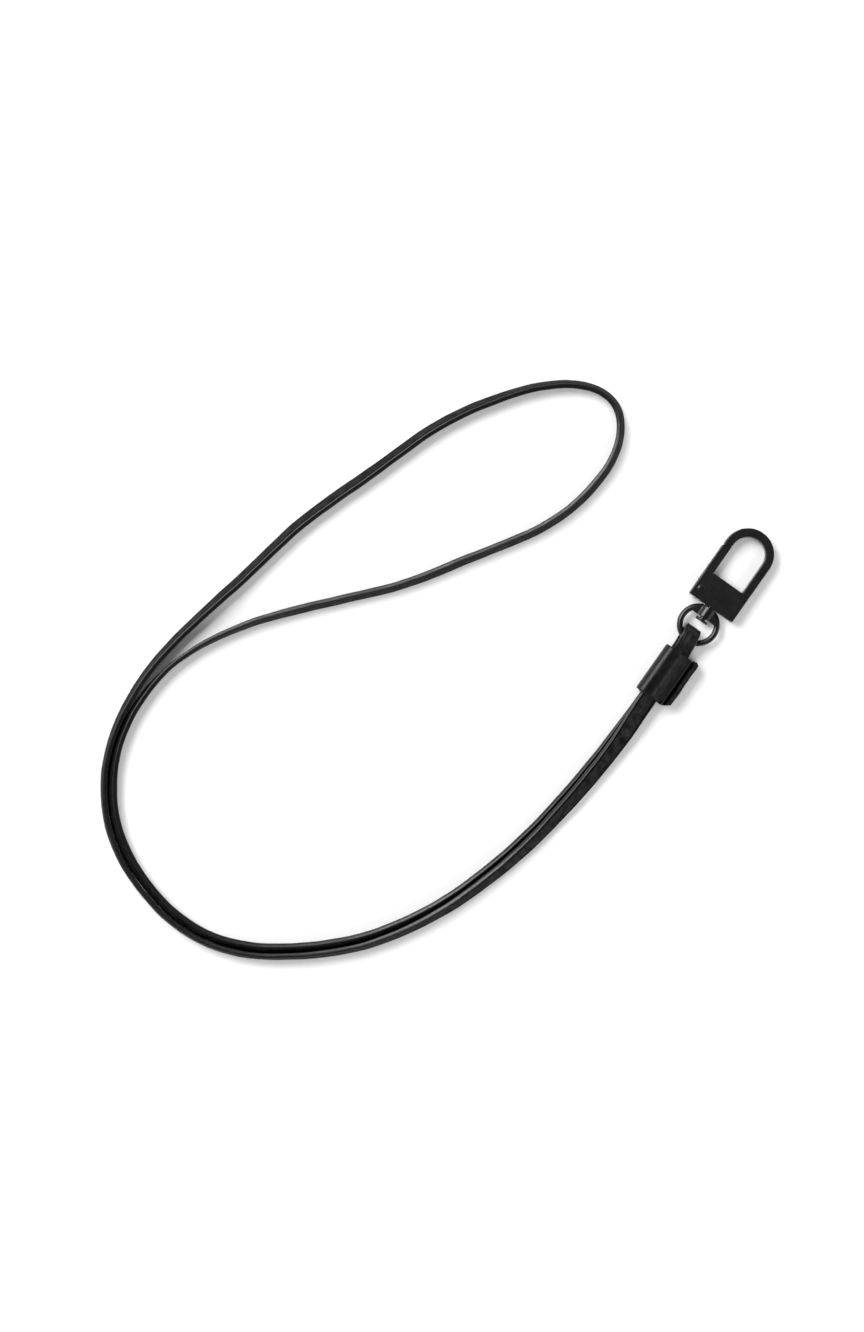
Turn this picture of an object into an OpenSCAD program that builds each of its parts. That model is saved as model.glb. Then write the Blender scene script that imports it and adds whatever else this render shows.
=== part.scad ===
// Leather neck lanyard with a swivel snap hook, lying flat.
// +Y runs along the hook to its tip, +X to the right, +Z up. The origin is the middle of the
// keeper's flat underside, and the surface that the lanyard lies on is z = 0.

/* [Strap] */
// Width of the leather strap
strap_w = 5.6; // [5.0:0.1:5.8]
// Thickness of the strap, two bonded plies
strap_t = 1.8; // [1.4:0.1:1.8]
// Space between the two legs where they lie together
leg_gap = 0.2; // [0.15:0.05:0.25]

/* [Keeper] */
// Length of the keeper along the strap
keeper_l = 17.4; // [14:0.2:17.4]
// Width of the keeper over both legs
keeper_w = 9.9; // [9.8:0.1:10.5]
// How far the turned-up end stands out beside the keeper
ridge_out = 2.5; // [2.3:0.1:3]
// Thickness of the turned-up end
ridge_t = 1.5; // [1.2:0.1:1.6]
// Height of the turned-up end
ridge_h = 6.4; // [5:0.1:7]

/* [Ring] */
// Radius of the ring at the middle of its wire
ring_r = 5.9; // [5.9:0.1:6.2]
// Diameter of the ring's wire
wire_d = 2.0; // [1.8:0.1:2.0]
// Radius of the ring's barrel hub
hub_r = 2.3; // [2.1:0.1:2.5]

/* [Hook] */
// Width of the hook
hook_w = 16.7; // [16:0.1:17]
// Thickness of the hook
hook_t = 4.6; // [4.4:0.1:5]
// Width of the arm, the arch and the gate
arm_w = 2.8; // [2.6:0.1:2.9]
// Height of the hook's block
block_h = 9.6; // [9.4:0.1:10]
// Height of the whole hook
hook_h = 29.2; // [28:0.1:31]

/* [Fasteners] */
// Radius of the swivel rivet's post
post_r = 1.0; // [0.9:0.05:1.1]
// Radius of the swivel rivet's head
rivet_head_r = 2.15; // [1.9:0.05:2.3]
// Radius of the gate pin
pin_r = 0.8; // [0.7:0.05:0.85]
// Radius of the gate pin's heads
pin_head_r = 1.2; // [1.1:0.05:1.3]

/* [Hidden] */
$fn = 64;
over = 1;                            // overshoot of cutting tools

// The eye that the strap makes round the ring
eye_r = 2.0;                         // inside radius of the eye
eye_y = 13.3;                        // the ring's wire, where the clasp swings
eye_slack = 0.8;                     // free length inside the eye
eye_taper = 27;                      // angle at which the legs close below the eye
fold_x = -0.2;                       // middle of the fold and of the hook
axis_z = eye_r + strap_t;            // height of the middle of the legs and the eye
seam_y = -7;                         // where the strap's ends meet inside the keeper

// Keeper
keeper_leather = axis_z - strap_t - leg_gap / 2;
cavity_w = keeper_w - 2 * keeper_leather;
keeper_round = 2.6;                  // rounding of the keeper's left side
lap_gap = 0.1;                       // glue line where the strip's end stands on its start

// Clasp, measured from the eye along the hook
running_gap = 0.05;                  // radial clearance of pivots
hub_bottom = 8.6;
hub_top = 12.3;
block_y = 12.5;
rivet_head_y = 7.2;
rivet_head_t = 0.8;
rivet_chamfer = 0.3;
post_depth = 4;                      // how far the post goes into the block
half_w = hook_w / 2;
block_top = block_y + block_h;
arch_y = block_y + hook_h - half_w;  // centre of the arch
tip_reach = block_y + hook_h;
droop = asin((axis_z - hook_t / 2) / tip_reach);  // the hook's tip rests on the surface

// Gate
gate_t = 2.8;                        // thickness of the gate
slot_t = 3.0;                        // width of the block's slot for the gate
root_gap = 0.25;                     // room in the slot round the gate's root
pin_x = -6.1;
pin_y = 15.8;
gate_root_r = 2.2;
gate_nose_y = 31.4;                  // outer corner of the gate's tip
gate_nose_rise = 1.2;                // the tip's face rises inwards by this
nose_gap = 0.1;
slot_x = -3.0;                       // right wall of the slot, clear of the open gate
fork_r = 4.6;                        // reach of the cut in the gate that clears the spring
fork_t = 1.4;
pin_head_t = 0.35;
pin_chamfer = 0.4;

// Gate spring
spring_wire_r = 0.2;
spring_r = 1.35;
spring_pitch = 0.4;
spring_groove = 0.12;
spring_turns = 3;
spring_leg_l = 2.4;
spring_leg_z = 0.3;                  // height of the legs off the middle of the coil
spring_rest_lean = -12;              // the leg against the block
spring_gate_lean = -32;              // the leg against the gate

// The two legs side by side, from inside the keeper to where they part.
// Each point is [x, y, turn of the front leg, turn of the back leg]. A turn of 0 has the
// strap's face up, 90 has the face to the left of the way it runs, and 180 has it down.
pair_route = [
    [0, 0, 0, 180], [0, -7, 0, 180], [0, -14, 2, 178], [0, -26, 32, 148],
    [-1.2, -44, 42, 138], [-4.3, -69, 56, 126], [-12, -97, 68, 116], [-26, -124, 78, 114],
    [-48, -144, 82, 112], [-70, -156, 83, 111], [-98, -153, 84, 112], [-121, -140, 84, 114],
    [-134, -116, 80, 110]
];
// The single strand round the open end of the loop. Each point is [x, y, turn].
loop_route = [
    [-136, -86, 74], [-128, -56, 67], [-124, -31, 63], [-118, -13, 62], [-112, 2, 63],
    [-107, 20, 66], [-96, 40, 70], [-82, 57, 76], [-68, 64, 78], [-58, 60, 78],
    [-52, 48, 76], [-53, 32, 76], [-58, 15, 75], [-71, -3, 75], [-83, -24, 75],
    [-102, -44, 76], [-120, -65, 80], [-132, -88, 92]
];
steps = 2;                           // rings between two points of the route

function unit(v) = v / norm(v);
// Left of the way the pair runs, at point i
function pair_side(i) =
    let (a = pair_route[max(i - 1, 0)], b = pair_route[min(i + 1, len(pair_route) - 1)],
         d = unit([b[0] - a[0], b[1] - a[1]]))
    [-d[1], d[0]];
// Height of the strap's middle when it rests on the surface at this turn
function rest_z(turn) = strap_w / 2 * abs(sin(turn)) + strap_t / 2 * abs(cos(turn));
// The legs stand in a narrow V, so their middles are further apart than their feet. Where they
// lie on each other, the front leg is a little to the right and the back leg to the left.
leg_lap = 0.2;
beside_turn = 88;                    // at this turn the front leg stands beside the back leg
slide_turn = 30;                     // it slides down there over this much turn
function leg_apart(p) = strap_t + leg_gap + strap_w / 2 * sin(abs(180 - p[3] - p[2]));
function back_z(p) = max(rest_z(p[3]), axis_z - (strap_t + leg_gap) / 2);
// The front leg lies on the back leg near the keeper and slides down beside it further on
function front_lift(p) = leg_apart(p) * cos(p[2]) * min(1, (beside_turn - p[2]) / slide_turn);
function leg_aside(p) = leg_apart(p) / 2 * sin(p[2]) + leg_lap * cos(p[2]);
function front_leg(i) =
    let (p = pair_route[i], s = pair_side(i), h = leg_aside(p))
    [p[0] + h * s[0], p[1] + h * s[1], back_z(p) + front_lift(p), p[2]];
function back_leg(i) =
    let (p = pair_route[i], s = pair_side(i), h = leg_aside(p))
    [p[0] - h * s[0], p[1] - h * s[1], back_z(p), p[3]];
pair_n = len(pair_route);
route = concat(
    [for (i = [0 : pair_n - 1]) front_leg(i)],
    [for (p = loop_route) [p[0], p[1], rest_z(p[2]), p[2]]],
    [for (i = [0 : pair_n - 1]) back_leg(pair_n - 1 - i)]
);

// A smooth curve guided by the route's points, and its direction
function bend(a, b, c, d, t) =
    (pow(1 - t, 3) * a + (3 * pow(t, 3) - 6 * t * t + 4) * b
     + (-3 * pow(t, 3) + 3 * t * t + 3 * t + 1) * c + pow(t, 3) * d) / 6;
function bend_way(a, b, c, d, t) =
    (-pow(1 - t, 2) * a + (3 * t * t - 4 * t) * b + (-3 * t * t + 2 * t + 1) * c + t * t * d) / 2;

// Outline of the strap's section as [across the face, through the thickness]
edge_cut = 0.45;                     // the section's corners are cut by this
section = [
    [strap_w / 2 - edge_cut, strap_t / 2], [strap_w / 2, strap_t / 2 - edge_cut],
    [strap_w / 2, edge_cut - strap_t / 2], [strap_w / 2 - edge_cut, -strap_t / 2],
    [edge_cut - strap_w / 2, -strap_t / 2], [-strap_w / 2, edge_cut - strap_t / 2],
    [-strap_w / 2, strap_t / 2 - edge_cut], [edge_cut - strap_w / 2, strap_t / 2]
];
function strap_ring(i, t) =
    let (a = route[i], b = route[i + 1], c = route[i + 2], d = route[i + 3],
         p = bend(a, b, c, d, t), w = bend_way(a, b, c, d, t), f = unit([w[0], w[1]]),
         out = [-f[1] * sin(p[3]), f[0] * sin(p[3]), cos(p[3])],
         across = [f[1] * cos(p[3]), -f[0] * cos(p[3]), sin(p[3])])
    [for (q = section) [p[0], p[1], p[2]] + q[0] * across + q[1] * out];
last = len(route) - 4;
rings = concat(
    [for (i = [0 : last], k = [0 : steps - 1]) strap_ring(i, k / steps)],
    [strap_ring(last, 1)]
);

// The free part of the strap, out of the keeper, round the loop and back into the keeper
module strap_loop() {
    n = len(section);
    m = len(rings);
    color([0.06, 0.06, 0.065])
        polyhedron(
            points = [for (r = rings, p = r) p],
            faces = concat(
                [[for (k = [0 : n - 1]) k]],
                [for (j = [0 : m - 2], k = [0 : n - 1])
                    [j * n + k, (j + 1) * n + k, (j + 1) * n + (k + 1) % n, j * n + (k + 1) % n]],
                [[for (k = [n - 1 : -1 : 0]) (m - 1) * n + k]]
            ),
            convexity = 10
        );
}

// Side view of the legs and the eye, out to a depth into the leather
module fold_side(depth) {
    r = eye_r + depth;
    leg = leg_gap / 2 + depth;
    touch_y = eye_y - r * sin(eye_taper);
    touch_z = r * cos(eye_taper);
    close_y = touch_y - (touch_z - leg) / tan(eye_taper);
    translate([eye_y, 0])
        circle(r = r);
    translate([eye_y + eye_slack, 0])
        circle(r = r);
    translate([eye_y, -r])
        square([eye_slack, 2 * r]);
    polygon([
        [close_y, -leg], [touch_y, -touch_z], [eye_y, 0], [touch_y, touch_z], [close_y, leg]
    ]);
    translate([seam_y, -leg])
        square([touch_y - seam_y, 2 * leg]);
}

module strap_ply(inside, outside) {
    translate([fold_x - strap_w / 2, 0, axis_z])
        rotate([90, 0, 90])
            linear_extrude(strap_w)
                difference() {
                    fold_side(outside);
                    fold_side(inside);
                }
}

module strap_fold_face() {
    color([0.07, 0.07, 0.075])
        strap_ply(strap_t / 2, strap_t);
}

module strap_fold_lining() {
    color([0.05, 0.05, 0.055])
        strap_ply(0, strap_t / 2);
}

// End view of the keeper: one strip wrapped round both legs, with its end turned up beside it
module keeper_end_view() {
    top = 2 * axis_z;
    half = keeper_w / 2;
    ridge_x = half + ridge_out - ridge_t;
    difference() {
        union() {
            translate([keeper_round - half, 0])
                square([keeper_w - keeper_round, top]);
            translate([-half, keeper_round])
                square([keeper_w / 2, top - 2 * keeper_round]);
            for (z = [keeper_round, top - keeper_round])
                translate([keeper_round - half, z])
                    circle(r = keeper_round);
        }
        translate([-cavity_w / 2, keeper_leather])
            square([cavity_w, top - 2 * keeper_leather]);
        translate([cavity_w / 2 - lap_gap, keeper_leather])
            square([keeper_leather + over, lap_gap]);
    }
    square([half + ridge_out - ridge_t / 2, keeper_leather]);
    translate([ridge_x, ridge_t / 2])
        square([ridge_t, ridge_h - ridge_t]);
    for (z = [ridge_t / 2, ridge_h - ridge_t / 2])
        translate([ridge_x + ridge_t / 2, z])
            circle(r = ridge_t / 2);
}

module keeper() {
    color([0.08, 0.08, 0.085])
        translate([0, keeper_l / 2, 0])
            rotate([90, 0, 0])
                linear_extrude(keeper_l)
                    keeper_end_view();
}

// Puts a clasp part, drawn from the eye with the hook along +Y, in its resting place
module on_clasp() {
    translate([fold_x, eye_y, axis_z])
        rotate([-droop, 0, 0])
            children();
}

module swivel_ring() {
    color([0.1, 0.1, 0.1])
        on_clasp()
            difference() {
                union() {
                    translate([0, ring_r, 0])
                        rotate_extrude()
                            translate([ring_r, 0])
                                circle(d = wire_d);
                    translate([0, 0, -wire_d / 2])
                        linear_extrude(wire_d)
                            intersection() {
                                translate([0, ring_r])
                                    circle(r = ring_r);
                                translate([-ring_r, hub_bottom])
                                    square([2 * ring_r, hub_top - hub_bottom]);
                            }
                    translate([0, hub_bottom, 0])
                        rotate([-90, 0, 0])
                            cylinder(r = hub_r, h = hub_top - hub_bottom);
                }
                translate([0, hub_bottom - over, 0])
                    rotate([-90, 0, 0])
                        cylinder(r = post_r + running_gap, h = hub_top - hub_bottom + 2 * over);
                translate([-ring_r, hub_top, -ring_r])
                    cube([2 * ring_r, 2 * wire_d, 2 * ring_r]);
            }
}

module swivel_rivet() {
    color([0.12, 0.12, 0.12])
        on_clasp()
            translate([0, rivet_head_y, 0])
                rotate([-90, 0, 0])
                    rotate_extrude()
                        polygon([
                            [0, 0], [rivet_head_r - rivet_chamfer, 0],
                            [rivet_head_r, rivet_chamfer],
                            [rivet_head_r, rivet_head_t], [post_r, rivet_head_t],
                            [post_r, block_y + post_depth - rivet_head_y],
                            [0, block_y + post_depth - rivet_head_y]
                        ]);
}

// Front view of the hook's block, arm and arch, down to the nose that the gate meets
module hook_front() {
    inner = half_w - arm_w;
    translate([-half_w, block_y])
        square([hook_w, block_h]);
    translate([inner, block_y])
        square([arm_w, arch_y - block_y]);
    difference() {
        translate([0, arch_y])
            circle(r = half_w);
        translate([0, arch_y])
            circle(r = inner);
        translate([-half_w - over, block_y])
            square([hook_w + 2 * over, arch_y - block_y]);
    }
    polygon([
        [-half_w, gate_nose_y + nose_gap], [-inner, gate_nose_y + nose_gap + gate_nose_rise],
        [-inner, arch_y], [-half_w, arch_y]
    ]);
}

module hook_body() {
    color([0.09, 0.09, 0.09])
        on_clasp()
            difference() {
                translate([0, 0, -hook_t / 2])
                    linear_extrude(hook_t)
                        hook_front();
                translate([0, 0, -slot_t / 2])
                    linear_extrude(slot_t) {
                        translate([pin_x, pin_y])
                            circle(r = gate_root_r + root_gap);
                        translate([-half_w - over, pin_y])
                            square([slot_x + half_w + over, block_top + over - pin_y]);
                    }
                translate([-half_w - over, pin_y - gate_root_r / 2, -slot_t / 2])
                    cube([over + half_w + pin_x, gate_root_r, slot_t]);
                translate([pin_x, pin_y, -hook_t])
                    cylinder(r = pin_r, h = 2 * hook_t);
                translate([0, block_y - over, 0])
                    rotate([-90, 0, 0])
                        cylinder(r = post_r, h = post_depth + over);
            }
}

module gate() {
    inner = half_w - arm_w;
    color([0.1, 0.1, 0.1])
        on_clasp()
            difference() {
                translate([0, 0, -gate_t / 2])
                    linear_extrude(gate_t) {
                        translate([pin_x, pin_y])
                            circle(r = gate_root_r);
                        polygon([
                            [-half_w, pin_y], [-inner, pin_y],
                            [-inner, gate_nose_y + gate_nose_rise], [-half_w, gate_nose_y]
                        ]);
                    }
                translate([pin_x, pin_y, -hook_t])
                    cylinder(r = pin_r + running_gap, h = 2 * hook_t);
                translate([pin_x, pin_y, -fork_t / 2])
                    cylinder(r = fork_r, h = fork_t);
            }
}

module gate_pin() {
    face = hook_t / 2;
    tip = face + pin_head_t;
    color([0.14, 0.14, 0.14])
        on_clasp()
            translate([pin_x, pin_y, 0])
                rotate_extrude()
                    polygon([
                        [0, -tip], [pin_head_r - pin_chamfer, -tip], [pin_head_r, -face],
                        [pin_r, -face], [pin_r, face], [pin_head_r, face],
                        [pin_head_r - pin_chamfer, tip], [0, tip]
                    ]);
}

// A torsion spring round the gate pin, inside the fork of the gate, with its turns close wound
module gate_spring() {
    inner = spring_r - spring_wire_r;
    outer = spring_r + spring_wire_r;
    high = spring_turns * spring_pitch / 2;
    color("dimgray")
        on_clasp()
            translate([pin_x, pin_y, 0]) {
                rotate_extrude()
                    polygon(concat(
                        [[inner, -high]],
                        [for (i = [0 : 2 * spring_turns])
                            [outer - (i % 2 == 0 ? spring_groove : 0), i * spring_pitch / 2 - high]],
                        [[inner, high]]
                    ));
                spring_leg(-spring_r, spring_leg_z, spring_rest_lean);
                spring_leg(spring_r, -spring_leg_z, spring_gate_lean);
            }
}

module spring_leg(x, z, lean) {
    translate([x, 0, z])
        rotate([-90, 0, 0])
            rotate([0, -lean, 0])
                cylinder(r = spring_wire_r, h = spring_leg_l);
}

strap_loop();
strap_fold_face();
strap_fold_lining();
keeper();
swivel_ring();
swivel_rivet();
hook_body();
gate();
gate_pin();
gate_spring();
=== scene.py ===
"""A black leather neck lanyard with a swivel snap hook, laid flat on a pale table."""

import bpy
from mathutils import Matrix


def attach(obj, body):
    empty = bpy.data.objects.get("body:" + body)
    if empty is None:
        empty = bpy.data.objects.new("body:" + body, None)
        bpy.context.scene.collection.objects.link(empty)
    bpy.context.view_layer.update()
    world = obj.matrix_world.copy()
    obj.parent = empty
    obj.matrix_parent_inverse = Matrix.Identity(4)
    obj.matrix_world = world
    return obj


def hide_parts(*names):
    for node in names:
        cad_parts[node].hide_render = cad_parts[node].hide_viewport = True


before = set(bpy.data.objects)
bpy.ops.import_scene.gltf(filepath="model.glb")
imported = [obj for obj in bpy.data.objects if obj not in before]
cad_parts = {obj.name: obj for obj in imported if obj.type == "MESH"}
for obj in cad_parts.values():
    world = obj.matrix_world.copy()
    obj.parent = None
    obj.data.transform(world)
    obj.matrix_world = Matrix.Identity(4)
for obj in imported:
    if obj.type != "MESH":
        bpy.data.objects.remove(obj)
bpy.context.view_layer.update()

import math

import bmesh
import bpy
import numpy as np
from mathutils import Vector

# Small parts are drawn in millimetres, and every mesh is made in metres.
MM = 0.001

# ---------------------------------------------------------------- sizes, as in the CAD source
strap_w = 5.6
strap_t = 1.8
leg_gap = 0.2
leg_lap = 0.2
beside_turn = 88      # at this turn the front leg stands beside the back leg
slide_turn = 30       # it slides down there over this much turn
axis_z = 3.8
fold_x = -0.2
eye_y = 13.3
eye_r = 2.0
eye_slack = 0.8
seam_y = -7.0
droop = math.radians(2.061)

hook_w = 16.7
hook_t = 4.6
arm_w = 2.8
block_bottom = 12.5
block_top = 22.1
arch_y = 33.35
pin_x = -6.1
pin_y = 15.8
nose_y = 31.4
nose_rise = 1.2
slot_x = -3.0
slot_t = 3.0
gate_t = 2.8

# The two legs side by side, in metres: x, y, turn of the front leg, turn of the back leg.
pair_route = [
    (0, 0, 0, 180), (0, -0.007, 0, 180), (0, -0.014, 2, 178), (0, -0.026, 32, 148),
    (-0.0012, -0.044, 42, 138), (-0.0043, -0.069, 56, 126), (-0.012, -0.097, 68, 116),
    (-0.026, -0.124, 78, 114), (-0.048, -0.144, 82, 112), (-0.070, -0.156, 83, 111),
    (-0.098, -0.153, 84, 112), (-0.121, -0.140, 84, 114), (-0.134, -0.116, 80, 110),
]
# The single strand round the open end of the loop, in metres: x, y, turn.
loop_route = [
    (-0.136, -0.086, 74), (-0.128, -0.056, 67), (-0.124, -0.031, 63), (-0.118, -0.013, 62),
    (-0.112, 0.002, 63), (-0.107, 0.020, 66), (-0.096, 0.040, 70), (-0.082, 0.057, 76),
    (-0.068, 0.064, 78), (-0.058, 0.060, 78), (-0.052, 0.048, 76), (-0.053, 0.032, 76),
    (-0.058, 0.015, 75), (-0.071, -0.003, 75), (-0.083, -0.024, 75), (-0.102, -0.044, 76),
    (-0.120, -0.065, 80), (-0.132, -0.088, 92),
]


# ---------------------------------------------------------------- camera
def make_camera():
    """Straight above on a long lens, turned so that the lanyard lies across the frame."""
    height = 2.0
    seen = 0.4262
    middle = (-0.0621, -0.0406)
    turn = 35.2
    data = bpy.data.cameras.new("camera")
    data.sensor_width = 36.0
    data.lens = data.sensor_width * height / seen
    data.clip_end = 50.0
    camera = bpy.data.objects.new("camera", data)
    camera.location = (*middle, height)
    camera.rotation_euler = (0.0, 0.0, math.radians(turn))
    bpy.context.scene.collection.objects.link(camera)
    bpy.context.scene.camera = camera


# ---------------------------------------------------------------- mesh helpers
def new_piece(name, points, faces, finishes, unit=MM, face_finish=None):
    """A mesh piece with smooth faces that point outwards."""
    mesh = bpy.data.meshes.new(name)
    scaled = (np.asarray(points, float) * unit).tolist()
    mesh.from_pydata(scaled, [], [list(f) for f in faces])
    for finish in finishes:
        mesh.materials.append(finish)
    if face_finish is not None:
        mesh.polygons.foreach_set("material_index", face_finish)
    shape = bmesh.new()
    shape.from_mesh(mesh)
    bmesh.ops.recalc_face_normals(shape, faces=shape.faces)
    shape.to_mesh(mesh)
    shape.free()
    mesh.shade_smooth()
    piece = bpy.data.objects.new(name, mesh)
    bpy.context.scene.collection.objects.link(piece)
    return piece


def wall_faces(rings, around):
    """Quads between closed rings of points."""
    faces = []
    for j in range(rings - 1):
        for k in range(around):
            n = (k + 1) % around
            faces.append((j * around + k, (j + 1) * around + k,
                          (j + 1) * around + n, j * around + n))
    return faces


def loft_faces(rings, around):
    """Quads between rings of points, with a flat cap at each end."""
    first = tuple(range(around))
    last = tuple((rings - 1) * around + k for k in reversed(range(around)))
    return wall_faces(rings, around) + [first, last]


def arc(cx, cy, r, start, end, count):
    """Points on an arc, angles in degrees."""
    turns = np.radians(np.linspace(start, end, count))
    return [(cx + r * math.cos(a), cy + r * math.sin(a)) for a in turns]


def matched(line, count):
    """The same line with evenly spaced points."""
    p = np.array(line, float)
    s = np.concatenate([[0], np.cumsum(np.linalg.norm(np.diff(p, axis=0), axis=1))])
    at = np.linspace(0, s[-1], count)
    return np.stack([np.interp(at, s, p[:, k]) for k in range(2)], 1)


def smoothed(values, rounds):
    """The values evened out along their line, with both ends held."""
    values = values.copy()
    for _ in range(rounds):
        values[1:-1] = (values[:-2] + 2 * values[1:-1] + values[2:]) / 4
    return values


def ramp(value, start, over):
    """Rises from 0 at the start to 1 over the given stretch, and is held beyond it."""
    return np.clip((value - start) / over, 0, 1)


def ripple(s, wave, seed):
    """Smooth unevenness between -1 and 1 along a length."""
    total = 0.0
    for k, share in ((1.0, 0.5), (1.83, 0.3), (3.1, 0.2)):
        total = total + share * np.sin(2 * math.pi * k * s / wave + seed * (1.7 + k))
    return total


def from_clasp(points):
    """Points drawn from the eye with the hook along +Y, put where the clasp rests."""
    p = np.asarray(points, float)
    c, s = math.cos(droop), math.sin(droop)
    y = p[:, 1] * c + p[:, 2] * s
    z = -p[:, 1] * s + p[:, 2] * c
    return np.stack([p[:, 0] + fold_x, y + eye_y, z + axis_z], 1)


# ---------------------------------------------------------------- strap
# A quarter of the strap's section, from the middle of its face over the creased line and the
# rounded painted edge to the line where the two plies are bonded: across, through.
section_quarter = [
    (0.0, 0.90), (0.6, 0.90), (1.1, 0.90), (1.55, 0.895), (1.80, 0.88), (1.93, 0.85),
    (2.00, 0.79), (2.08, 0.79), (2.16, 0.85), (2.30, 0.87), (2.40, 0.86), (2.50, 0.825),
    (2.60, 0.76), (2.685, 0.67), (2.74, 0.56), (2.765, 0.465), (2.787, 0.29), (2.797, 0.06),
]
crease_from = 1.9     # the creased flank starts here, across
crown_from = 2.4      # and the edge's painted crown here


def strap_section():
    """The whole outline: both faces and both edges."""
    q = np.array(section_quarter)
    right = np.concatenate([q, q[::-1] * [1, -1]])
    left = (right[::-1] * [-1, 1])[1:-1]
    return np.concatenate([right, left])


def ply_section(side):
    """One ply's outline: its face, the halves of both edges, and the flat that is bonded."""
    bond_half = 2.79
    bond_gap = 0.01
    q = np.array(section_quarter)
    half = np.concatenate([q[::-1], q[1:] * [-1, 1]]) * [1, side]
    flat = [(x, bond_gap * side) for x in np.linspace(-bond_half, bond_half, 9)]
    return np.concatenate([half, flat])


def edge_kinds(section, rings):
    """For each face of the loft: 0 the leather, 1 the creased flank, 2 the edge's crown."""
    far = (np.abs(section[:, 0]) + np.abs(np.roll(section[:, 0], -1))) / 2
    kinds = (far > crease_from).astype(int) + (far > crown_from)
    return list(np.tile(kinds, rings - 1)) + [0, 0]


def spline(route, per_span):
    """A smooth curve guided by the route's points, the way it runs, and its length so far."""
    r = np.asarray(route, float)
    t = (np.arange(per_span) / per_span)[:, None]
    weights = [(1 - t) ** 3, 3 * t ** 3 - 6 * t ** 2 + 4, -3 * t ** 3 + 3 * t ** 2 + 3 * t + 1,
               t ** 3]
    spans = [sum(w * r[i + k] for k, w in enumerate(weights)) / 6 for i in range(len(r) - 3)]
    end = (r[-3] + 4 * r[-2] + r[-1]) / 6
    curve = np.concatenate(spans + [end[None]])
    way = np.gradient(curve[:, :2], axis=0)
    way /= np.linalg.norm(way, axis=1)[:, None]
    steps = np.linalg.norm(np.diff(curve[:, :3], axis=0), axis=1)
    return curve, way, np.concatenate([[0], np.cumsum(steps)])


def rest_z(turn):
    """Height of the strap's middle when it rests on the table at this turn."""
    a = math.radians(turn)
    return strap_w / 2 * abs(math.sin(a)) + strap_t / 2 * abs(math.cos(a))


def strap_route():
    """Out along the front leg, round the loop, and back along the back leg, in millimetres."""
    pair = [(x / MM, y / MM, a, b) for x, y, a, b in pair_route]
    front, back = [], []
    for i, (x, y, a, b) in enumerate(pair):
        before = pair[max(i - 1, 0)]
        after = pair[min(i + 1, len(pair) - 1)]
        run = np.array([after[0] - before[0], after[1] - before[1]])
        run = run / np.linalg.norm(run)
        side = np.array([-run[1], run[0]])
        apart = strap_t + leg_gap + strap_w / 2 * math.sin(math.radians(abs(180 - b - a)))
        lean = math.radians(a)
        low = max(rest_z(b), axis_z - (strap_t + leg_gap) / 2)
        lift = apart * math.cos(lean) * min(1, (beside_turn - a) / slide_turn)
        h = apart / 2 * math.sin(lean) + leg_lap * math.cos(lean)
        front.append((x + h * side[0], y + h * side[1], low + lift, a))
        back.append((x - h * side[0], y - h * side[1], low, b))
    loop = [(x / MM, y / MM, rest_z(turn), turn) for x, y, turn in loop_route]
    return front + loop + back[::-1]


def make_strap(finishes):
    """The free loop, with slight play in its turn, its place and its width away from the keeper."""
    turn_play, side_play, width_play = 1.3, 0.09, 0.012
    curve, way, length = spline(strap_route(), per_span=26)
    n = len(curve)
    free = np.clip(np.minimum(length, length[-1] - length) / 40 - 0.4, 0, 1)
    turn = np.radians(curve[:, 3] + turn_play * free * ripple(length, wave=46.0, seed=2.0))
    middle = curve[:, :3].copy()
    side = np.stack([-way[:, 1], way[:, 0]], 1)
    sway = side_play * free * ripple(length, wave=31.0, seed=5.0)
    middle[:, :2] += side * sway[:, None]
    out = np.stack([-way[:, 1] * np.sin(turn), way[:, 0] * np.sin(turn), np.cos(turn)], 1)
    across = np.stack([way[:, 1] * np.cos(turn), -way[:, 0] * np.cos(turn), np.sin(turn)], 1)
    section = strap_section()
    wide = 1 + width_play * ripple(length, wave=17.0, seed=3.0)
    rings = (middle[:, None]
             + section[None, :, :1] * across[:, None] * wide[:, None, None]
             + section[None, :, 1:] * out[:, None])
    strap = new_piece("strap_loop_leather", rings.reshape(-1, 3), loft_faces(n, len(section)),
                      finishes, face_finish=edge_kinds(section, n))
    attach(strap, "strap")
    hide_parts("strap_loop")


def fold_path():
    """The strap's middle through the keeper, up round the ring and back: y, height, sideways."""
    leg = (strap_t + leg_gap) / 2
    smoothing_room = 0.05
    bend_r = eye_r + strap_t / 2 + smoothing_room
    taper = 27
    lean = math.radians(taper)
    touch_y = eye_y - bend_r * math.sin(lean)
    touch_z = bend_r * math.cos(lean)
    close_y = touch_y - (touch_z - leg) / math.tan(lean)
    back = [(seam_y, -leg), (close_y - 3, -leg), (close_y, -leg),
            (close_y + 1.6, -leg - 0.75), (touch_y - 1.2, 0.62 - touch_z)]
    round_low = arc(eye_y, 0, bend_r, 270 - taper, 270, 6)
    round_far = arc(eye_y + eye_slack, 0, bend_r, 270, 450, 27)
    round_top = arc(eye_y, 0, bend_r, 90, 90 + taper, 6)
    front = [(y, -z) for y, z in reversed(back)]
    count = 150
    y, z = matched(back + round_low + round_far + round_top + front, count).T
    y, z = smoothed(y, 6), smoothed(z, 6)
    share = np.linspace(0, 1, count)
    # the back leg runs out to the left, and the strap crosses to the right as it goes round
    places = [0, 0.2, 0.27, 0.38, 0.45, 0.5, 0.62, 0.7, 0.8, 1.0]
    shifts = [-0.1, -0.15, -0.45, -0.35, -1.1, -1.0, 0.2, 0.5, 0.5, 0.25]
    x = smoothed(np.interp(share, places, shifts), 60)
    return np.stack([x, y, z + axis_z], 1), share


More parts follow.
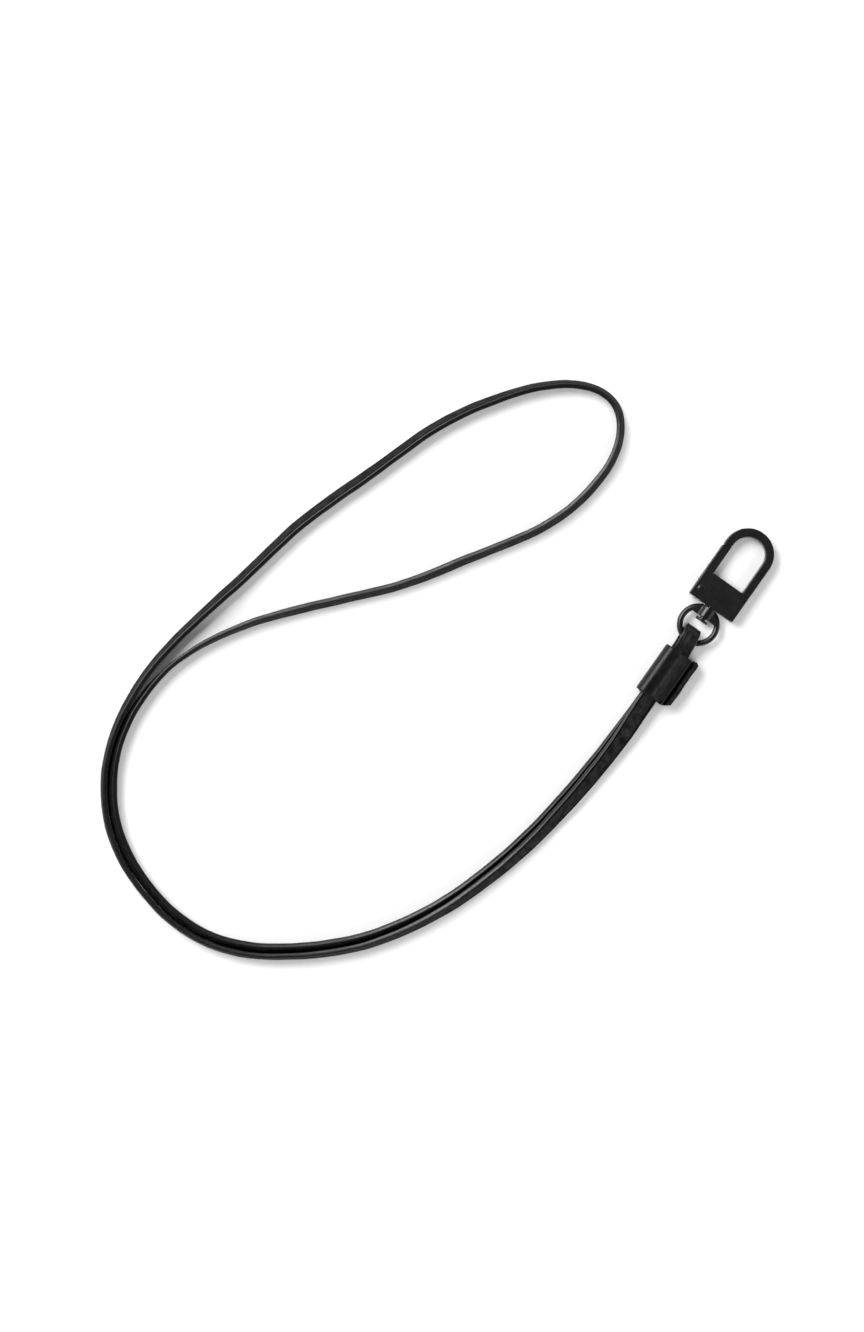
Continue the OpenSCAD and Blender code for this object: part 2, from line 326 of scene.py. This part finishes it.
def make_fold(name, node, side, finishes):
    """One of the strap's two plies where it folds round the ring."""
    middle, share = fold_path()
    way = np.gradient(middle[:, 1:], axis=0)
    way /= np.linalg.norm(way, axis=1)[:, None]
    out = np.stack([np.zeros(len(way)), way[:, 1], -way[:, 0]], 1)
    across = np.tile([1.0, 0.0, 0.0], (len(way), 1))
    section = ply_section(side)
    # soft creases that run along the front leg, deepest below the eye
    deepest, fade = 0.72, 0.11
    crease = 0.15 * np.exp(-((share - deepest) / fade) ** 2) + 0.03 * (share > 0.5)
    on_face = (np.abs(section[:, 0]) < crease_from) & (np.abs(section[:, 1]) > 0.5)
    press = np.sin(section[:, 0] * 2.6 + 0.9) * on_face
    through = section[None, :, 1] + crease[:, None] * press[None, :]
    rings = (middle[:, None]
             + section[None, :, :1] * across[:, None]
             + through[:, :, None] * out[:, None])
    fold = new_piece(name, rings.reshape(-1, 3), loft_faces(len(middle), len(section)),
                     finishes, face_finish=edge_kinds(section, len(middle)))
    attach(fold, "strap")
    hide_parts(node)


# ---------------------------------------------------------------- keeper
def keeper_strip():
    """End view of the keeper's strip as stretches of its outer and inner sides: x, height."""
    return [
        ([(4.95, 2.05), (4.95, 6.5)], [(3.05, 2.05), (3.05, 5.3)], 10),
        (arc(4.0, 6.5, 0.95, 0, 90, 8), arc(2.65, 5.3, 0.4, 0, 90, 8), 10),
        ([(4.0, 7.45), (2.6, 7.40), (1.2, 7.28), (0.4, 7.18), (-0.3, 7.16), (-0.9, 7.27),
          (-1.45, 7.49), (-1.8, 7.58), (-2.15, 7.6)],
         [(2.65, 5.7), (0.0, 5.66), (-2.45, 5.7)], 34),
        (arc(-2.15, 4.8, 2.8, 90, 180, 18), arc(-2.45, 5.1, 0.6, 90, 180, 18), 18),
        ([(-4.95, 4.8), (-4.95, 2.4)], [(-3.05, 5.1), (-3.05, 2.5)], 8),
        (arc(-2.75, 2.2, 2.2, 180, 270, 14), arc(-2.45, 2.5, 0.6, 180, 270, 14), 14),
        ([(-2.75, 0.0), (6.2, 0.0)], [(-2.45, 1.9), (5.55, 1.9)], 20),
        (arc(6.2, 1.25, 1.25, 270, 360, 10), arc(5.6, 2.25, 0.35, 270, 360, 10), 10),
        ([(7.45, 1.25), (7.45, 5.75)], [(5.95, 2.25), (5.95, 5.75)], 12),
        (arc(6.75, 5.75, 0.7, 0, 88, 9), arc(6.65, 5.75, 0.7, 180, 92, 9), 9),
    ]


def keeper_ends(x, on_ridge, ridge_high):
    """Where the strip's low and high ends lie: the low one slants, the high one has a shoulder."""
    slant = 1.35 * ramp(x, 5.0, 2.4)
    low = -8.55 + slant + 0.15 * np.sin(x * 0.9 + 1)
    corner = ramp(ridge_high, 0.78, 0.22) ** 2
    shoulder = 0.5 * ramp(x, 6.7, 0.75) ** 2
    high = 8.45 + 0.62 * on_ridge * (1 - 0.9 * corner) - shoulder
    return low, high


def make_keeper(leather, edge):
    """The wrapped strip, with rounded ends, a dent in its valley and a swaying ridge."""
    outer, inner = [], []
    for outside, inside, count in keeper_strip():
        outer.append(matched(outside, count)[:-1])
        inner.append(matched(inside, count)[:-1])
    outer = np.concatenate(outer)
    inner = np.concatenate(inner)
    n = len(outer)
    section = np.concatenate([outer, inner[::-1]])
    half = (outer + inner) / 2
    middle = np.concatenate([half, half[::-1]])
    x, height = section.T
    on_ridge = ramp(x, 5.2, 0.9)
    ridge_high = ramp(height, 0, 6.45)
    sways = (on_ridge > 0.5) & (ridge_high > 0.3)
    low, high = keeper_ends(x, on_ridge, ridge_high)
    rows, end_rows, end_pull = 64, 3.0, 0.16
    rings = []
    for j in range(rows):
        t = j / (rows - 1)
        end_round = max(0.0, 1 - min(t, 1 - t) * (rows - 1) / end_rows)
        pull = end_pull * (1 - math.sqrt(max(0.0, 1 - end_round ** 2)))
        ring = section + (middle - section) * pull
        y = low + (high - low) * t + 0.04 * ripple(x, wave=9.0, seed=2.0)
        wave = 0.05 * ripple(y + height, wave=11.0, seed=4.0)
        dent = 0.09 * np.exp(-((y + 2.7) / 0.35) ** 2 - ((x + 1.25) / 0.3) ** 2)
        lift = np.where(height > 6.8, wave * 0.8 - dent, 0.0)
        sway = np.where(sways, 0.13 * ripple(y, wave=15.0, seed=1.0), 0)
        rings.append(np.stack([ring[:, 0] + sway, y, ring[:, 1] + lift], 1))
    rings = np.array(rings)
    around = len(section)
    faces = wall_faces(rows, around)
    raw_from = 5.6
    mid = (section + np.roll(section, -1, axis=0)) / 2
    raw = ((mid[:, 0] > raw_from) & (mid[:, 1] > raw_from)).astype(int)
    kinds = list(np.tile(raw, rows - 1))
    for base, flip in ((0, False), ((rows - 1) * around, True)):
        for k in range(n - 1):
            quad = (base + k, base + k + 1, base + around - 2 - k, base + around - 1 - k)
            faces.append(tuple(reversed(quad)) if flip else quad)
            kinds.append(1)
    keeper = new_piece("keeper_strip", rings.reshape(-1, 3), faces, [leather, edge],
                       face_finish=kinds)
    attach(keeper, "strap")
    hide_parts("keeper")


# ---------------------------------------------------------------- clasp
def rounded(corners):
    """An outline with each corner rounded: x, y, radius. A radius of 0 keeps the point."""
    corner_points = 7
    out = []
    n = len(corners)
    for i, (x, y, r) in enumerate(corners):
        p = np.array([x, y])
        if r == 0:
            out.append((x, y))
            continue
        a = np.array(corners[i - 1][:2]) - p
        b = np.array(corners[(i + 1) % n][:2]) - p
        a = a / np.linalg.norm(a)
        b = b / np.linalg.norm(b)
        half = math.acos(max(-1, min(1, float(a @ b)))) / 2
        reach = r / math.tan(half)
        centre = p + (a + b) / np.linalg.norm(a + b) * r / math.sin(half)
        start = p + a * reach - centre
        end = p + b * reach - centre
        for t in np.linspace(0, 1, corner_points):
            v = start * (1 - t) + end * t
            v = v / np.linalg.norm(v) * r
            out.append((centre[0] + v[0], centre[1] + v[1]))
    return out


def inset(outline, depth):
    """The outline moved inwards. It runs anticlockwise."""
    p = np.asarray(outline, float)
    before = p - np.roll(p, 1, axis=0)
    after = np.roll(p, -1, axis=0) - p
    before /= np.linalg.norm(before, axis=1)[:, None]
    after /= np.linalg.norm(after, axis=1)[:, None]
    na = np.stack([-before[:, 1], before[:, 0]], 1)
    nb = np.stack([-after[:, 1], after[:, 0]], 1)
    mid = na + nb
    mid /= np.maximum(1e-9, (1 + (na * nb).sum(1)))[:, None]
    return p + mid * depth


def plate(name, outline, thick, bevel, finish):
    """A flat part with rounded edges, drawn from the eye in the clasp's own plane."""
    least_step = 0.02
    rings = []
    outline = np.array(outline)
    apart = np.linalg.norm(outline - np.roll(outline, 1, axis=0), axis=1)
    outline = outline[apart > least_step]
    turns = np.radians([90, 67, 45, 22, 0])
    levels = [(bevel * (1 - math.cos(a)), thick / 2 - bevel + bevel * math.sin(a)) for a in turns]
    levels += [(d, -z) for d, z in reversed(levels)]
    for depth, z in levels:
        line = inset(outline, depth)
        rings.append(np.column_stack([line, np.full(len(line), z)]))
    points = from_clasp(np.concatenate(rings))
    return new_piece(name, points, loft_faces(len(levels), len(outline)), [finish])


def prism(name, outline, low, high):
    """A plain block that cuts a slot."""
    points = [(x, y, low) for x, y in outline] + [(x, y, high) for x, y in outline]
    return new_piece(name, from_clasp(points), loft_faces(2, len(outline)), [])


def cut(piece, cutter):
    """Cuts the cutter's shape out of the piece and takes the cutter away."""
    tool = piece.modifiers.new("slot", "BOOLEAN")
    tool.operation = "DIFFERENCE"
    tool.solver = "EXACT"
    tool.object = cutter
    bake_modifiers(piece)
    bpy.data.objects.remove(cutter)


def bake_modifiers(piece):
    """The piece's mesh as its modifiers leave it."""
    graph = bpy.context.evaluated_depsgraph_get()
    made = bpy.data.meshes.new_from_object(piece.evaluated_get(graph), depsgraph=graph)
    piece.modifiers.clear()
    piece.data = made


def crisp(piece, angle=38):
    """Keeps the sharp edges and the broad faces of a smooth shaded part crisp."""
    flat_over = 1.5
    piece.data.shade_smooth()
    piece.data.set_sharp_from_angle(angle=math.radians(angle))
    for face in piece.data.polygons:
        if face.area > flat_over * MM * MM:
            face.use_smooth = False


def make_hook(black):
    """One casting: the block with its gate slot, the fixed arm, the arch and the nose."""
    w = hook_w / 2
    inner = w - arm_w
    outline = rounded([(-w, block_top, 0), (-w, block_bottom, 0.45), (w, block_bottom, 0.45),
                       (w, block_top, 0)])[1:-1]
    outline += [(w, y) for y in np.linspace(block_bottom + 2, arch_y - 0.5, 16)]
    outline += arc(0, arch_y, w, 0, 180, 49)
    nose = nose_y + 0.1
    outline += rounded([(-w, arch_y, 0), (-w, nose, 0.5), (-inner, nose + nose_rise, 0.32),
                        (-inner, arch_y, 0)])[1:]
    outline += arc(0, arch_y, inner, 180, 0, 41)[1:]
    outline += [(inner, y) for y in np.linspace(arch_y - 0.5, block_top + 1.5, 10)]
    cheek_top = block_top - 0.25
    outline += rounded([(inner, arch_y, 0), (inner, block_top, 0.4),
                        (-inner + 0.5, block_top, 0.5), (-inner - 0.1, cheek_top, 0.5),
                        (-w, cheek_top, 0.6), (-w, block_bottom, 0)])[1:-1]
    hook = plate("hook_body_cast", outline, hook_t, bevel=0.3, finish=black)
    reach = arc(pin_x, pin_y, 2.45, 206.7, 360, 22)
    slot = [(-w - 1, pin_y - 1.1)] + reach + [(slot_x, pin_y), (slot_x, block_top + 1),
                                            (-w - 1, block_top + 1)]
    cut(hook, prism("hook_slot", slot, -slot_t / 2, slot_t / 2))
    crisp(hook)
    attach(hook, "hook")
    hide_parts("hook_body")


def make_gate(black):
    """The sprung bar, with a round root and a fork for the spring."""
    w = hook_w / 2
    inner = w - arm_w
    proud = 0.1
    fork_half = 0.7
    root = arc(pin_x, pin_y, 2.2, 75, -178, 40)
    outline = root + [(-w - proud, pin_y + 1.0)]
    outline += [(-w - proud, y) for y in np.linspace(pin_y + 3, nose_y - 2, 8)]
    outline += rounded([(-w - proud, pin_y, 0), (-w - proud, nose_y - 0.05, 0.75),
                        (-inner, nose_y + nose_rise, 0.3), (-inner, pin_y, 0)])[1:-1]
    outline += [(-inner, y) for y in np.linspace(nose_y - 1, pin_y + 3.5, 8)]
    gate = plate("gate_bar", outline[::-1], gate_t, bevel=0.28, finish=black)
    cut(gate, prism("gate_fork", arc(pin_x, pin_y, 4.6, 0, 350, 36), -fork_half, fork_half))
    crisp(gate)
    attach(gate, "gate")
    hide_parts("gate")


turned_sides = 48


def turned(profile, axis):
    """A turned part from its outline: distance along the axis, radius. axis is 'y' or 'z'."""
    points = []
    for along, r in profile:
        for a in np.linspace(0, 2 * math.pi, turned_sides, endpoint=False):
            u, v = r * math.cos(a), r * math.sin(a)
            points.append((u, along, v) if axis == "y" else (u, v, along))
    return points, loft_faces(len(profile), turned_sides)


def make_rivet(metal, coating):
    """The swivel rivet: a coated head inside the ring, a bright neck, and the post."""
    profile = [(7.2, 0.4), (7.2, 1.6), (7.24, 1.95), (7.36, 2.1), (7.5, 2.15), (7.86, 2.15),
               (7.98, 2.08), (8.04, 1.9), (8.06, 1.3), (8.12, 1.02), (8.5, 1.0), (16.4, 1.0),
               (16.5, 0.9), (16.5, 0.3)]
    points, faces = turned(profile, "y")
    head_end = 8
    coated = [1 if face // turned_sides < head_end else 0 for face in range(len(faces))]
    rivet = new_piece("swivel_rivet_turned", from_clasp(points), faces, [metal, coating],
                      face_finish=coated)
    crisp(rivet)
    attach(rivet, "hook")
    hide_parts("swivel_rivet")


def make_pin(metal):
    """The gate's pin, with a low domed head on each face of the block."""
    face = hook_t / 2
    dome = [(face + 0.38, 0.25), (face + 0.36, 0.55), (face + 0.3, 0.85), (face + 0.2, 1.08),
            (face + 0.06, 1.2), (face - 0.05, 1.2), (face - 0.05, 0.8)]
    profile = dome + [(-z, r) for z, r in reversed(dome)]
    points, faces = turned(profile, "z")
    placed = np.array(points) + [pin_x, pin_y, 0]
    pin = new_piece("gate_pin_domed", from_clasp(placed), faces, [metal])
    crisp(pin, angle=50)
    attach(pin, "hook")
    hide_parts("gate_pin")


def make_ring(black):
    """The cast ring, its web and its barrel hub run into each other with soft corners."""
    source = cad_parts["swivel_ring"]
    mesh = source.data.copy()
    shape = bmesh.new()
    shape.from_mesh(mesh)
    bmesh.ops.remove_doubles(shape, verts=shape.verts, dist=1e-6)
    shape.to_mesh(mesh)
    shape.free()
    ring = bpy.data.objects.new("swivel_ring_cast", mesh)
    bpy.context.scene.collection.objects.link(ring)
    fine = ring.modifiers.new("fine", "REMESH")
    fine.mode = "VOXEL"
    fine.voxel_size = 0.14 * MM
    soft = ring.modifiers.new("soft", "SMOOTH")
    soft.factor = 0.5
    soft.iterations = 9
    bake_modifiers(ring)
    ring.data.materials.clear()
    ring.data.materials.append(black)
    ring.data.shade_smooth()
    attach(ring, "ring")
    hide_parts("swivel_ring")


# ---------------------------------------------------------------- gate spring
def wire_tree(steel):
    """Sweeps round wire along the object's own line, with its sizes as named inputs."""
    tree = bpy.data.node_groups.new("swept_wire", "GeometryNodeTree")
    face = tree.interface
    face.new_socket("Geometry", in_out="INPUT", socket_type="NodeSocketGeometry")
    face.new_socket("Wire radius", in_out="INPUT", socket_type="NodeSocketFloat")
    face.new_socket("Geometry", in_out="OUTPUT", socket_type="NodeSocketGeometry")
    inside = tree.nodes.new("NodeGroupInput")
    outside = tree.nodes.new("NodeGroupOutput")
    line = tree.nodes.new("GeometryNodeMeshToCurve")
    wire = tree.nodes.new("GeometryNodeCurvePrimitiveCircle")
    wire.inputs["Resolution"].default_value = 12
    sweep = tree.nodes.new("GeometryNodeCurveToMesh")
    sweep.inputs["Fill Caps"].default_value = True
    real = tree.nodes.new("GeometryNodeRealizeInstances")
    paint = tree.nodes.new("GeometryNodeSetMaterial")
    paint.inputs["Material"].default_value = steel
    link = tree.links.new
    link(inside.outputs["Geometry"], line.inputs["Mesh"])
    link(inside.outputs["Wire radius"], wire.inputs["Radius"])
    link(line.outputs["Curve"], sweep.inputs["Curve"])
    link(wire.outputs["Curve"], sweep.inputs["Profile Curve"])
    link(sweep.outputs["Mesh"], real.inputs["Geometry"])
    link(real.outputs["Geometry"], paint.inputs["Geometry"])
    link(paint.outputs["Geometry"], outside.inputs["Geometry"])
    return tree


def spring_line():
    """The spring's wire: a leg against the block, close turns, and a leg against the gate."""
    radius, pitch, leg, turns = 1.35, 0.4, 2.4, 3
    block_lean, gate_lean = -12, -32
    start, end = 180 + block_lean, 360 * turns + gate_lean
    high = pitch * (end - start) / 360
    coil = arc(0, 0, radius, start, end, 110)
    coil = np.column_stack([coil, np.linspace(high / 2, -high / 2, len(coil))])
    legs = []
    for lean, root in ((block_lean, coil[0]), (gate_lean, coil[-1])):
        a = math.radians(lean)
        legs.append(root + leg * np.array([-math.sin(a), math.cos(a), 0]))
    line = np.concatenate([[legs[0]], coil, [legs[1]]])
    return from_clasp(line + [pin_x, pin_y, 0]) * MM


def make_spring(steel):
    """The gate's torsion spring, swept along its own line."""
    wire_radius = 0.2 * MM
    tree = wire_tree(steel)
    line = spring_line()
    mesh = bpy.data.meshes.new("gate_spring_coil")
    mesh.from_pydata(line.tolist(), [(i, i + 1) for i in range(len(line) - 1)], [])
    spring = bpy.data.objects.new("gate_spring_coil", mesh)
    bpy.context.scene.collection.objects.link(spring)
    wire = spring.modifiers.new("wire", "NODES")
    wire.node_group = tree
    for item in tree.interface.items_tree:
        if item.name == "Wire radius":
            wire[item.identifier] = wire_radius
    bake_modifiers(spring)
    spring.data.shade_smooth()
    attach(spring, "hook")
    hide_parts("gate_spring")


# ---------------------------------------------------------------- finishes
def new_finish(name):
    """A new material, its nodes, its linker, its shader and the object's own coordinates."""
    finish = bpy.data.materials.new(name)
    finish.use_nodes = True
    nodes = finish.node_tree.nodes
    shader = nodes["Principled BSDF"]
    coords = nodes.new("ShaderNodeTexCoord")
    return finish, nodes, finish.node_tree.links.new, shader, coords.outputs["Object"]


def noise(nodes, link, coords, scale, detail=3.0, rough=0.55):
    node = nodes.new("ShaderNodeTexNoise")
    node.inputs["Scale"].default_value = scale
    node.inputs["Detail"].default_value = detail
    node.inputs["Roughness"].default_value = rough
    link(coords, node.inputs["Vector"])
    return node.outputs["Fac"]


def spread(nodes, link, value, low, high, a, b):
    """Maps a value from low..high to a..b, held at both ends."""
    node = nodes.new("ShaderNodeMapRange")
    node.inputs["From Min"].default_value = low
    node.inputs["From Max"].default_value = high
    node.inputs["To Min"].default_value = a
    node.inputs["To Max"].default_value = b
    link(value, node.inputs["Value"])
    return node.outputs["Result"]


def blend_colour(nodes, link, share, a, b):
    node = nodes.new("ShaderNodeMix")
    node.data_type = "RGBA"
    node.inputs["A"].default_value = (*a, 1)
    node.inputs["B"].default_value = (*b, 1)
    link(share, node.inputs["Factor"])
    return node.outputs["Result"]


def bump(nodes, link, height, depth, below=None):
    """Relief of this depth in metres, on top of the relief below it."""
    node = nodes.new("ShaderNodeBump")
    node.inputs["Strength"].default_value = 1.0
    node.inputs["Distance"].default_value = depth
    link(height, node.inputs["Height"])
    if below is not None:
        link(below, node.inputs["Normal"])
    return node.outputs["Normal"]


def leather_finish(name, dark, light, rough, gloss, pebble, depth, patch=420):
    """Leather: mottled colour, a fine pebble grain, soft unevenness and worn patches."""
    finish, nodes, link, shader, at = new_finish(name)
    patches = noise(nodes, link, at, patch, 5.0, 0.65)
    share = spread(nodes, link, patches, 0.36, 0.68, 0.0, 1.0)
    link(blend_colour(nodes, link, share, dark, light), shader.inputs["Base Color"])
    cells = nodes.new("ShaderNodeTexVoronoi")
    cells.feature = "SMOOTH_F1"
    cells.inputs["Scale"].default_value = pebble
    cells.inputs["Smoothness"].default_value = 0.6
    link(at, cells.inputs["Vector"])
    fibre = noise(nodes, link, at, pebble * 2.2, 3.0, 0.6)
    grain = bump(nodes, link, cells.outputs["Distance"], depth)
    soft = bump(nodes, link, noise(nodes, link, at, 300, 2.0), depth * 6, grain)
    link(bump(nodes, link, fibre, depth * 0.6, soft), shader.inputs["Normal"])
    wear = noise(nodes, link, at, 760, 5.0, 0.7)
    link(spread(nodes, link, wear, 0.3, 0.7, rough - 0.06, rough + 0.08),
         shader.inputs["Roughness"])
    shader.inputs["Specular IOR Level"].default_value = gloss
    return finish


def edge_finish(name, dark, light, rough, gloss):
    """Edge paint over the cut leather, with faint unevenness along it."""
    finish, nodes, link, shader, at = new_finish(name)
    share = spread(nodes, link, noise(nodes, link, at, 700, 3.0), 0.3, 0.7, 0.0, 1.0)
    link(blend_colour(nodes, link, share, dark, light), shader.inputs["Base Color"])
    link(spread(nodes, link, noise(nodes, link, at, 1500, 2.0), 0.3, 0.7, rough - 0.06,
                rough + 0.08), shader.inputs["Roughness"])
    link(bump(nodes, link, noise(nodes, link, at, 900, 3.0), 0.00004), shader.inputs["Normal"])
    shader.inputs["Specular IOR Level"].default_value = gloss
    return finish


def black_metal_finish():
    """Satin black coating on cast metal, with a fine orange-peel and rubbed patches."""
    finish, nodes, link, shader, at = new_finish("satin black coating")
    patches = noise(nodes, link, at, 260, 3.0)
    share = spread(nodes, link, patches, 0.35, 0.7, 0.0, 1.0)
    link(blend_colour(nodes, link, share, (0.004, 0.004, 0.0043), (0.0075, 0.0075, 0.0078)),
         shader.inputs["Base Color"])
    link(spread(nodes, link, noise(nodes, link, at, 900, 4.0), 0.3, 0.7, 0.26, 0.31),
         shader.inputs["Roughness"])
    peel = bump(nodes, link, noise(nodes, link, at, 2600, 2.0), 0.00002)
    link(peel, shader.inputs["Normal"])
    shader.inputs["Specular IOR Level"].default_value = 0.5
    return finish


def bare_metal_finish(name, dark, light, rough):
    """Bare or thinly blackened metal with fine turning marks."""
    finish, nodes, link, shader, at = new_finish(name)
    share = noise(nodes, link, at, 900, 4.0)
    link(blend_colour(nodes, link, share, dark, light), shader.inputs["Base Color"])
    link(spread(nodes, link, noise(nodes, link, at, 3000, 3.0), 0.3, 0.7, rough - 0.07,
                rough + 0.08), shader.inputs["Roughness"])
    link(bump(nodes, link, noise(nodes, link, at, 5200, 2.0), 0.00001), shader.inputs["Normal"])
    shader.inputs["Metallic"].default_value = 1.0
    return finish


def floor_finish():
    finish, nodes, link, shader, at = new_finish("pale table")
    link(blend_colour(nodes, link, noise(nodes, link, at, 60, 2.0), (0.9, 0.9, 0.9),
                      (0.92, 0.92, 0.92)), shader.inputs["Base Color"])
    shader.inputs["Roughness"].default_value = 0.8
    shader.inputs["Specular IOR Level"].default_value = 0.1
    return finish


# ---------------------------------------------------------------- table and light
def make_table(finish):
    size = 6.0
    points = [(-size, -size, 0), (size, -size, 0), (size, size, 0), (-size, size, 0)]
    table = new_piece("table", points, [(0, 1, 2, 3)], [finish], unit=1.0)


lit_middle = (-0.06, -0.04, 0.0)


def soft_box(name, way, lift, far, size, power, seen_in_gloss=True):
    """A square soft light, aimed at the lanyard. way is its bearing and lift its height."""
    data = bpy.data.lights.new(name, "AREA")
    data.shape = "RECTANGLE"
    data.size = size
    data.size_y = size
    data.energy = power
    lamp = bpy.data.objects.new(name, data)
    a, e = math.radians(way), math.radians(lift)
    back = Vector((math.cos(a) * math.cos(e), math.sin(a) * math.cos(e), math.sin(e)))
    lamp.location = Vector(lit_middle) + back * far
    lamp.rotation_euler = (-back).to_track_quat("-Z", "Y").to_euler()
    lamp.visible_camera = False
    lamp.visible_glossy = seen_in_gloss
    bpy.context.scene.collection.objects.link(lamp)


def make_surroundings():
    """A pale studio that is bright low down and dim overhead."""
    world = bpy.data.worlds.new("studio")
    world.use_nodes = True
    nodes = world.node_tree.nodes
    link = world.node_tree.links.new
    at = nodes.new("ShaderNodeTexCoord").outputs["Generated"]
    split = nodes.new("ShaderNodeSeparateXYZ")
    link(at, split.inputs["Vector"])
    level = spread(nodes, link, split.outputs["Z"], 0.1, 0.5, 1.6, 0.05)
    link(level, nodes["Background"].inputs["Strength"])
    nodes["Background"].inputs["Color"].default_value = (1, 1, 1, 1)
    bpy.context.scene.world = world
    bpy.context.scene.view_settings.view_transform = "Standard"


# ---------------------------------------------------------------- build
make_camera()

face_leather = leather_finish(
    "strap leather", dark=(0.006, 0.006, 0.0065), light=(0.028, 0.027, 0.0265),
    rough=0.6, gloss=0.02, pebble=2300, depth=0.00003)
lining_leather = leather_finish(
    "lining leather", dark=(0.006, 0.006, 0.0063), light=(0.02, 0.0193, 0.019),
    rough=0.62, gloss=0.02, pebble=2700, depth=0.00002)
keeper_leather = leather_finish(
    "keeper leather", dark=(0.0035, 0.0035, 0.004), light=(0.009, 0.0087, 0.0087),
    rough=0.33, gloss=0.24, pebble=1900, depth=0.000012)
edge_crown = edge_finish(
    "polished edge paint", dark=(0.002, 0.002, 0.0023), light=(0.005, 0.005, 0.0053),
    rough=0.33, gloss=0.42)
# The strap's creased flank is coloured darker than its face leather. This is painted shade in the
# crease, laid over the real groove.
crease_shade_flank = edge_finish(
    "creased edge line with painted shade", dark=(0.0015, 0.0015, 0.0017), light=(0.004, 0.004, 0.0042),
    rough=0.7, gloss=0.0)
raw_edge = leather_finish(
    "raw cut edge", dark=(0.006, 0.006, 0.006), light=(0.018, 0.0175, 0.017),
    rough=0.7, gloss=0.05, pebble=3400, depth=0.00005, patch=900)
black_metal = black_metal_finish()
rivet_metal = bare_metal_finish(
    "blackened steel", dark=(0.03, 0.03, 0.031), light=(0.09, 0.09, 0.092), rough=0.2)
spring_metal = bare_metal_finish(
    "spring steel", dark=(0.32, 0.32, 0.33), light=(0.48, 0.48, 0.49), rough=0.3)
fold_leather = leather_finish(
    "handled fold leather", dark=(0.0035, 0.0035, 0.004), light=(0.014, 0.0136, 0.0133),
    rough=0.4, gloss=0.28, pebble=2300, depth=0.00003, patch=520)
fold_flank = edge_finish(
    "soft fold crease", dark=(0.004, 0.004, 0.0042), light=(0.01, 0.01, 0.01),
    rough=0.55, gloss=0.1)

make_strap([face_leather, crease_shade_flank, edge_crown])
make_fold("strap_fold_outer_ply", "strap_fold_face", 1,
          [fold_leather, fold_flank, edge_crown])
make_fold("strap_fold_inner_ply", "strap_fold_lining", -1,
          [lining_leather, fold_flank, edge_crown])
make_keeper(keeper_leather, raw_edge)
make_ring(black_metal)
make_rivet(rivet_metal, black_metal)
make_hook(black_metal)
make_gate(black_metal)
make_pin(black_metal)
make_spring(spring_metal)

make_table(floor_finish())
make_surroundings()
soft_box("key light", way=170, lift=52, far=1.5, size=0.9, power=26)
soft_box("fill light", way=-20, lift=40, far=2.0, size=1.2, power=20, seen_in_gloss=False)
soft_box("ceiling light", way=90, lift=80, far=2.0, size=2.4, power=11, seen_in_gloss=False)
